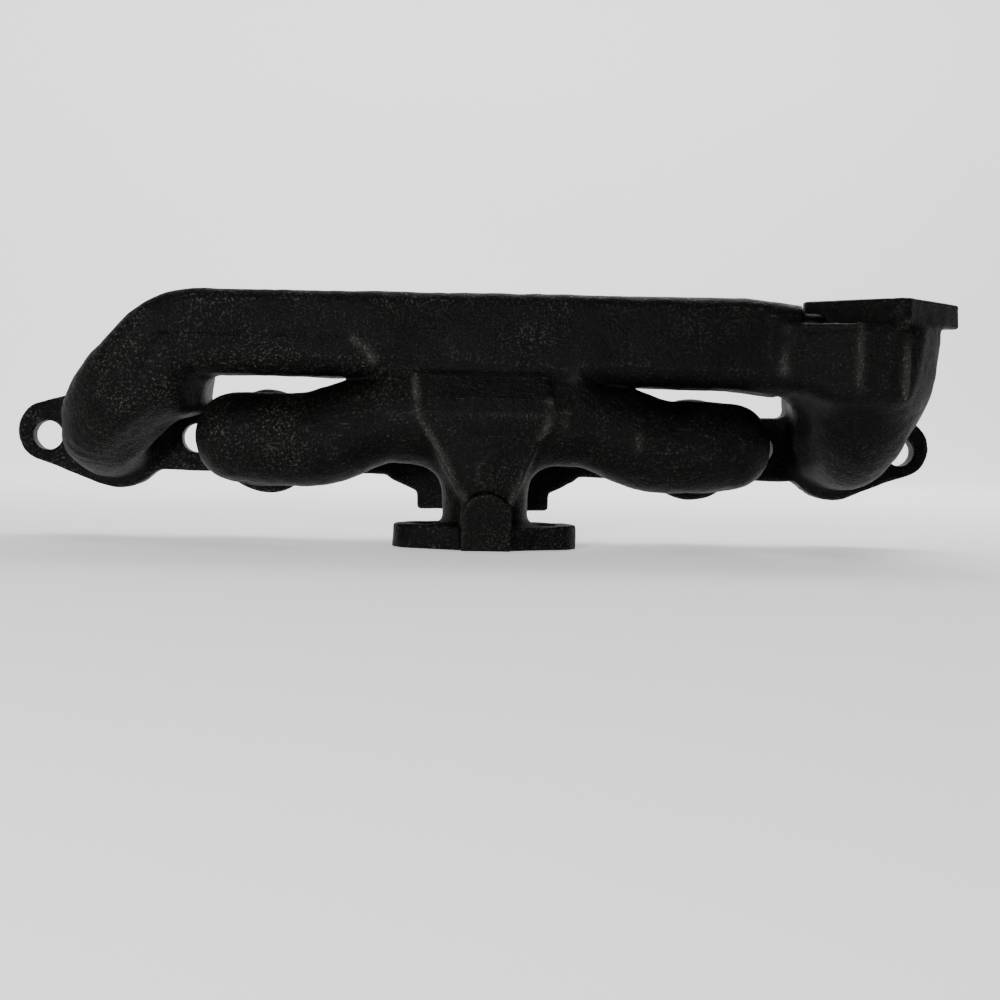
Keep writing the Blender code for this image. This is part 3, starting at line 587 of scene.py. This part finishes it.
iron.drill((everyX, (-4, 2), (-4, 106)), lambda x, d, z: d)
iron.drill((everyX, (-4, 84), (-4, 2)), lambda x, d, z: z)
iron.drill(((112, 200), (-4, 84), (92, 106)), lambda x, d, z: outlet["face"] - z)
print("bores and faces cut")

# part the casting into its sections
names = sorted(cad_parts)
number = {name: k + 1 for k, name in enumerate(names)}
label = np.zeros(iron.count, np.uint8)
_, (gx, gd, gz) = iron.part((-500, 500), (-500, 500), (-500, 500))


def claim(name, test):                 # the iron of a region goes to one section
    label[np.broadcast_to(test, label.shape)] = number[name]


# where the sections part, along the CAD's joints
parting = {"log": 0.4, "row": 0.15, "armEnd": 126, "armTop": 60.4, "block": 114.2,
           "blockFloor": 57.2, "branchHalf": 44, "branchFront": 33.3, "boxHalf": 25.7,
           "neckHalf": 30, "neckTop": 19.9, "flange": 0.5, "flangeUnder": 0.2,
           "padHalf": 10.2, "padBack": 66.6, "padTop": 22.5}
underLog = gz < logFloor(gx) + parting["log"]
behind = gd < row["thick"] + parting["row"]
claim("exhaust_log", ~underLog)
claim("left_exhaust_elbow", gx < log["x"][0])
claim("left_intake_runner", underLog & (gx < 0) & (gx > -parting["armEnd"])
      & (gz < parting["armTop"]))
claim("left_intake_runner", underLog & (gx < 0) & (gx > log["x"][0]))
claim("right_intake_runner", underLog & (gx >= 0) & (gx < parting["block"]))
claim("centre_exhaust_branch", underLog & (np.abs(gx) < parting["branchHalf"])
      & (gd < parting["branchFront"]))
claim("hot_spot_box", underLog & (np.abs(gx) < parting["boxHalf"])
      & (gd >= parting["branchFront"]))
claim("carburettor_neck", (np.abs(gx) < parting["neckHalf"]) & (gd >= row["thick"])
      & (gz < parting["neckTop"]))
claim("outlet_riser", (gx >= parting["block"]) & (gz >= parting["blockFloor"]))
claim("right_exhaust_elbow", (gx >= parting["block"]) & (gz < parting["blockFloor"]))
claim("outlet_flange", (gx >= outlet["x"] - outlet["reach"] - parting["flange"])
      & (gz > outlet["under"] - parting["flangeUnder"]))
claim("riser_pad", (np.abs(gx - arch["x"]) < parting["padHalf"]) & (gd > parting["padBack"])
      & (gz < parting["padTop"]))
claim("carburettor_flange", (gz < carb["thick"] + parting["row"]) & (gd > 20))
rowNodes = sorted((n for n in names if spot(n)["d"][1] < row["thick"] + 1),
                  key=lambda n: spot(n)["x"][0])
edges = [-500] + [(spot(a)["x"][1] + spot(b)["x"][0]) / 2
                  for a, b in zip(rowNodes, rowNodes[1:])] + [500]
for name, start, end in zip(rowNodes, edges, edges[1:]):
    claim(name, behind & (gx >= start) & (gx < end))
label[iron.iron >= 0] = 0

# Surface nets: every cell of the grid that is part iron and part air, or lies between two
# sections, has one point, the mean of where its edges cross the skin. A section's faces
# join the points of the four cells round each grid edge that leaves the section.

field = iron.iron
shape = tuple(n - 1 for n in field.shape)
corners = [(i, j, k) for i in (0, 1) for j in (0, 1) for k in (0, 1)]


def corner(values, c):
    return values[c[0]:c[0] + shape[0], c[1]:c[1] + shape[1], c[2]:c[2] + shape[2]]


first = corner(label, corners[0])
mixed = np.zeros(shape, bool)
for c in corners[1:]:
    mixed |= corner(label, c) != first
cells = np.flatnonzero(mixed)
i, j, k = np.unravel_index(cells, shape)
values = np.stack([field[i + a, j + b, k + c] for a, b, c in corners], 1)
total = np.zeros((len(cells), 3), np.float32)
hits = np.zeros(len(cells), np.float32)
for one, a in enumerate(corners):
    for two, b in enumerate(corners):
        if two > one and sum(abs(p - q) for p, q in zip(a, b)) == 1:
            crosses = (values[:, one] < 0) != (values[:, two] < 0)
            t = values[:, one] / np.where(crosses, values[:, one] - values[:, two], 1)
            place = np.array(a) + t[:, None] * (np.array(b) - np.array(a))
            total += np.where(crosses[:, None], place, 0)
            hits += crosses
local = np.where(hits[:, None] > 0, total / np.maximum(hits, 1)[:, None], 0.5)
points = iron.low + (np.stack([i, j, k], 1) + local) * iron.step
pointOf = np.full(mixed.size, -1, np.int32)
pointOf[cells] = np.arange(len(cells))
print("points on the skin", len(points))

# how far a place stands out from the iron round it, for wear on edges
wide = field.clip(-4, 4)
reach = max(int(round(2.0 / iron.step)), 1)
for axis in range(3):
    runs = np.cumsum(wide, axis=axis)
    ahead = np.take(runs, np.minimum(np.arange(wide.shape[axis]) + reach, wide.shape[axis] - 1),
                    axis=axis)
    back = np.take(runs, np.maximum(np.arange(wide.shape[axis]) - reach - 1, 0), axis=axis)
    wide = (ahead - back) / (2 * reach + 1)
standsOut = (wide[i, j, k] + wide[i + 1, j + 1, k + 1]) / 2
standsOut = np.clip(0.5 + standsOut, 0, 1).astype(np.float32)
onBead = np.clip(iron.beads[i, j, k] / 1.1, 0, 1)
onFace = (np.abs(points[:, 1]) < 0.12) | (np.abs(points[:, 2]) < 0.12)
onFace |= (np.abs(points[:, 2] - outlet["face"]) < 0.12) & (points[:, 0] > 120)


def facesOf(inside):
    quads = []
    for axis in range(3):
        near = [slice(None)] * 3
        far = [slice(None)] * 3
        near[axis], far[axis] = slice(None, -1), slice(1, None)
        change = inside[tuple(far)].astype(np.int8) - inside[tuple(near)].astype(np.int8)
        at = np.array(np.nonzero(change))
        sign = change[tuple(at)]
        u, v = (axis + 1) % 3, (axis + 2) % 3
        ring = []
        for du, dv in ((-1, -1), (0, -1), (0, 0), (-1, 0)):
            cell = at.copy()
            cell[u] += du
            cell[v] += dv
            ring.append(cell)
        quad = np.stack(ring, 0)
        quad[:, :, sign > 0] = quad[::-1][:, :, sign > 0]
        quads.append(quad)
    return np.concatenate(quads, 2)


def makePiece(name, material):
    inside = label == number[name]
    spans = []
    for axis in range(3):
        others = tuple(n for n in range(3) if n != axis)
        used = np.flatnonzero(inside.any(others))
        spans.append((used[0] - 1, used[-1] + 2))
    trimmed = inside[tuple(slice(a, b) for a, b in spans)]
    quad = facesOf(trimmed)
    shift = np.array([a for a, _ in spans])[None, :, None]
    index = np.ravel_multi_index(tuple((quad + shift).transpose(1, 2, 0)), shape)
    faces = pointOf[index]
    used, faces = np.unique(faces, return_inverse=True)
    faces = faces.reshape(-1, 4)
    place = points[used]
    mesh = bpy.data.meshes.new(name)
    mesh.vertices.add(len(used))
    world = np.stack([place[:, 0] / metre, headFace - place[:, 1] / metre,
                      place[:, 2] / metre], 1).astype(np.float32)
    mesh.vertices.foreach_set("co", world.ravel())
    mesh.loops.add(faces.size)
    mesh.loops.foreach_set("vertex_index", faces[:, ::-1].astype(np.int32).ravel())
    mesh.polygons.add(len(faces))
    mesh.polygons.foreach_set("loop_start", np.arange(len(faces), dtype=np.int32) * 4)
    mesh.update(calc_edges=True)
    for word, found in (("faced", onFace), ("edge", standsOut), ("bead", onBead)):
        kept = mesh.attributes.new(word, "FLOAT", "POINT")
        kept.data.foreach_set("value", found[used].astype(np.float32))
    mesh.shade_smooth()
    mesh.set_sharp_from_angle(angle=math.radians(50))
    mesh.materials.append(material)
    piece = bpy.data.objects.new(name + "_cast", mesh)
    bpy.context.scene.collection.objects.link(piece)
    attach(piece, "root")
    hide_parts(name)
    return len(faces)


# materials

class Value:                           # a socket that takes part in sums
    def __init__(self, paint, socket):
        self.paint = paint
        self.socket = socket

    def maths(self, operation, *pair):
        return self.paint.node("ShaderNodeMath", {"operation": operation}, pair)

    def __add__(self, other):
        return self.maths("ADD", self, other)

    def __radd__(self, other):
        return self.maths("ADD", other, self)

    def __sub__(self, other):
        return self.maths("SUBTRACT", self, other)

    def __rsub__(self, other):
        return self.maths("SUBTRACT", other, self)

    def __mul__(self, other):
        return self.maths("MULTIPLY", self, other)

    def __rmul__(self, other):
        return self.maths("MULTIPLY", other, self)


class Paint:
    def __init__(self, name):
        self.material = bpy.data.materials.new(name)
        self.material.use_nodes = True
        self.tree = self.material.node_tree
        self.shader = self.tree.nodes["Principled BSDF"]
        self.place = self.node("ShaderNodeTexCoord", {}, {}, "Object")

    def feed(self, socket, value):
        if isinstance(value, Value):
            self.tree.links.new(value.socket, socket)
        else:
            socket.default_value = value

    def node(self, kind, settings, sockets, output=0):
        made = self.tree.nodes.new(kind)
        for key, value in settings.items():
            if key == "stops":
                for n, (place, shade) in enumerate(value):
                    stop = made.color_ramp.elements[n] if n < 2 else \
                        made.color_ramp.elements.new(place)
                    stop.position = place
                    stop.color = (shade, shade, shade, 1)
            else:
                setattr(made, key, value)
        pairs = sockets.items() if isinstance(sockets, dict) else enumerate(sockets)
        for key, value in pairs:
            self.feed(made.inputs[key], value)
        return Value(self, made.outputs[output])

    def noise(self, size, detail, rough=0.5):      # size in millimetres
        return self.node("ShaderNodeTexNoise", {}, {
            "Vector": self.place, "Scale": metre / size, "Detail": detail, "Roughness": rough})

    def ramp(self, value, stops):
        return self.node("ShaderNodeValToRGB", {"stops": stops}, {0: value})

    def mix(self, factor, one, two):
        return self.node("ShaderNodeMix", {"data_type": "RGBA"}, {0: factor, 6: one, 7: two}, 2)


ironPaint = {"deep": (0.0002, 0.0002, 0.0001, 1), "body": (0.0007, 0.0007, 0.0005, 1),
             "wearAndGlint": (0.052, 0.0512, 0.0450, 1), "ground": (0.022, 0.022, 0.021, 1),
             "gloss": 0.08, "relief": 0.0011, "grain": 0.88, "speck": 0.5, "lumps": 2.3,
             "cloud": 17, "patch": 48, "scratch": 0.8}


def blackIron():                       # black paint over rough iron, worn pale on high places, with painted glints on the grain and the beads
    paint = Paint("black_painted_iron")
    grain = paint.noise(ironPaint["grain"], 3, 0.62)
    speck = paint.noise(ironPaint["speck"], 2, 0.5)
    lumps = paint.noise(ironPaint["lumps"], 3, 0.55)
    cloud = paint.noise(ironPaint["cloud"], 3, 0.5)
    patch = paint.noise(ironPaint["patch"], 2, 0.5)
    edge, faced, bead = (paint.node("ShaderNodeAttribute", {"attribute_name": word}, {}, "Fac")
                         for word in ("edge", "faced", "bead"))
    worn = paint.ramp(edge, [(0.60, 0.0), (0.95, 1.0)])
    high = paint.ramp(grain, [(0.53, 0.0), (0.66, 1.0)])
    bareAndLitSide = paint.ramp(patch, [(0.38, 0.3), (0.62, 1.0)])
    along = paint.node("ShaderNodeSeparateXYZ", {}, {0: paint.place}, 0)
    bareAndLitSide = bareAndLitSide * paint.ramp(cloud, [(0.38, 0.25), (0.62, 1.0)])
    # painted light: the pale specks thin out towards the right end, so the left end, nearest the
    # key lamp, reads brighter
    bareAndLitSide = bareAndLitSide * paint.ramp(along * 2.6 + 0.5, [(0.2, 1.0), (0.75, 0.35)])
    tone = paint.mix(paint.ramp(cloud, [(0.3, 0.0), (0.7, 1.0)]), ironPaint["deep"],
                     ironPaint["body"])
    # pale specks on the grain's high places: partly real wear and bare iron, partly a painted
    # glint of the key light
    tone = paint.mix(high * (0.85 * bareAndLitSide + worn * 0.35), tone, ironPaint["wearAndGlint"])
    # painted highlight: the mould's beads are paled with the speck colour, as if their ridges
    # caught the light
    tone = paint.mix(bead * (0.3 + high * 0.7), tone, ironPaint["wearAndGlint"])
    scratches = paint.node("ShaderNodeTexNoise", {}, {
        "Vector": paint.node("ShaderNodeMapping", {}, {
            0: paint.place, "Rotation": (0.2, 0.3, 0.5), "Scale": (0.08, 1, 1)}),
        "Scale": metre / ironPaint["scratch"], "Detail": 2})
    ground = paint.mix(scratches, ironPaint["body"], ironPaint["ground"])
    tone = paint.mix(faced, tone, ground)
    paint.feed(paint.shader.inputs["Base Color"], tone)
    rough = 0.36 + cloud * 0.16 + speck * 0.12 - high * 0.08
    paint.feed(paint.shader.inputs["Roughness"], rough - faced * 0.06)
    paint.feed(paint.shader.inputs["Metallic"], faced * 0.5)
    paint.shader.inputs["Specular IOR Level"].default_value = ironPaint["gloss"]
    texture = paint.ramp(patch, [(0.35, 0.65), (0.65, 1.0)])
    height = (grain * 0.6 + speck * 0.22 + lumps * 0.5) * texture
    smooth = 1 - faced
    bump = paint.node("ShaderNodeBump", {}, {
        "Strength": 1.0, "Distance": ironPaint["relief"], "Height": height * smooth
        + scratches * faced * 0.06})
    paint.feed(paint.shader.inputs["Normal"], bump)
    return paint.material


paperPaint = {"dull": (0.86, 0.86, 0.86, 1), "clean": (0.90, 0.90, 0.90, 1), "cloud": 300,
              "glow": 0.42}


def paleFloor():
    paint = Paint("pale_paper")
    cloud = paint.noise(paperPaint["cloud"], 2)
    paint.feed(paint.shader.inputs["Base Color"],
               paint.mix(cloud, paperPaint["dull"], paperPaint["clean"]))
    paint.feed(paint.shader.inputs["Roughness"], 0.75 + cloud * 0.1)
    paint.shader.inputs["Emission Color"].default_value = (1, 1, 1, 1)
    paint.shader.inputs["Emission Strength"].default_value = paperPaint["glow"]
    return paint.material


skin = blackIron()
sizes = {name: makePiece(name, skin) for name in names}
print("faces", sum(sizes.values()), "most", max(sizes, key=sizes.get), max(sizes.values()))

# floor, lights and camera
stageSizes = {"front": -1.6, "bend": 0.9, "radius": 0.5, "width": 3.2, "top": 1.8}


def makeStage():                       # a sheet of paper: level, a quarter turn, then upright
    turn = np.linspace(0, math.pi / 2, 24)
    bend, radius = stageSizes["bend"], stageSizes["radius"]
    y = np.concatenate([[stageSizes["front"]], bend + radius * np.sin(turn), [bend + radius]])
    z = np.concatenate([[0.0], radius * (1 - np.cos(turn)), [stageSizes["top"]]]) - 0.0001
    count = len(y)
    rows = [np.stack([np.full(count, x), y, z], 1)
            for x in (-stageSizes["width"], stageSizes["width"])]
    n = np.arange(count - 1)
    faces = np.stack([n, n + count, n + count + 1, n + 1], 1)
    mesh = bpy.data.meshes.new("studio_paper")
    mesh.from_pydata(np.concatenate(rows).tolist(), [], faces.tolist())
    mesh.shade_smooth()
    mesh.materials.append(paleFloor())
    paper = bpy.data.objects.new("studio_paper", mesh)
    bpy.context.scene.collection.objects.link(paper)


def addLight(name, place, target, size, power):
    data = bpy.data.lights.new(name, "AREA")
    data.shape = "RECTANGLE"
    data.size, data.size_y = size
    data.energy = power
    lamp = bpy.data.objects.new(name, data)
    bpy.context.scene.collection.objects.link(lamp)
    lamp.location = place
    aim = Vector(target) - lamp.location
    lamp.rotation_euler = aim.to_track_quat("-Z", "Y").to_euler()


makeStage()
lamps = {                              # place, what it points at, size and power
    "key": ((-0.34, -0.90, 0.16), (-0.06, 0.0, 0.06), (0.16, 0.16), 10.0),
    "fill": ((0.55, -0.95, 0.12), (0.08, 0.0, 0.05), (0.3, 0.3), 0.8),
    "top": ((0.0, 0.1, 1.5), (0.0, 0.1, 0.0), (1.2, 0.8), 5.0),
    "rear": ((0.35, 0.62, 0.78), (0.0, 0.03, 0.05), (0.7, 0.3), 6.0),
    "backdrop": ((0.0, 0.45, 0.9), (0.0, 1.35, 0.35), (2.4, 0.5), 20.0)}
for name, settings in lamps.items():
    addLight(name, *settings)
world = bpy.data.worlds.new("studio")
world.use_nodes = True
world.node_tree.nodes["Background"].inputs[0].default_value = (0.9, 0.92, 0.95, 1)
world.node_tree.nodes["Background"].inputs[1].default_value = 0.03
bpy.context.scene.world = world

eye = {"x": -29.4, "d": 653.9, "z": 46.2, "yaw": 0.0586, "pitch": -0.0457, "roll": 0.0208,
       "lens": 55.74}
camera = bpy.data.objects.new("camera", bpy.data.cameras.new("camera"))
bpy.context.scene.collection.objects.link(camera)
camera.data.lens = eye["lens"]
camera.data.sensor_width = 36
camera.matrix_world = (
    Matrix.Translation((eye["x"] / metre, headFace - eye["d"] / metre, eye["z"] / metre))
    @ Matrix.Rotation(-eye["yaw"], 4, "Z") @ Matrix.Rotation(math.pi / 2 + eye["pitch"], 4, "X")
    @ Matrix.Rotation(eye["roll"], 4, "Z"))
camera.data.clip_start = 0.05
camera.data.clip_end = 20
bpy.context.scene.camera = camera
print("stage set")

bpy.context.view_layer.update()
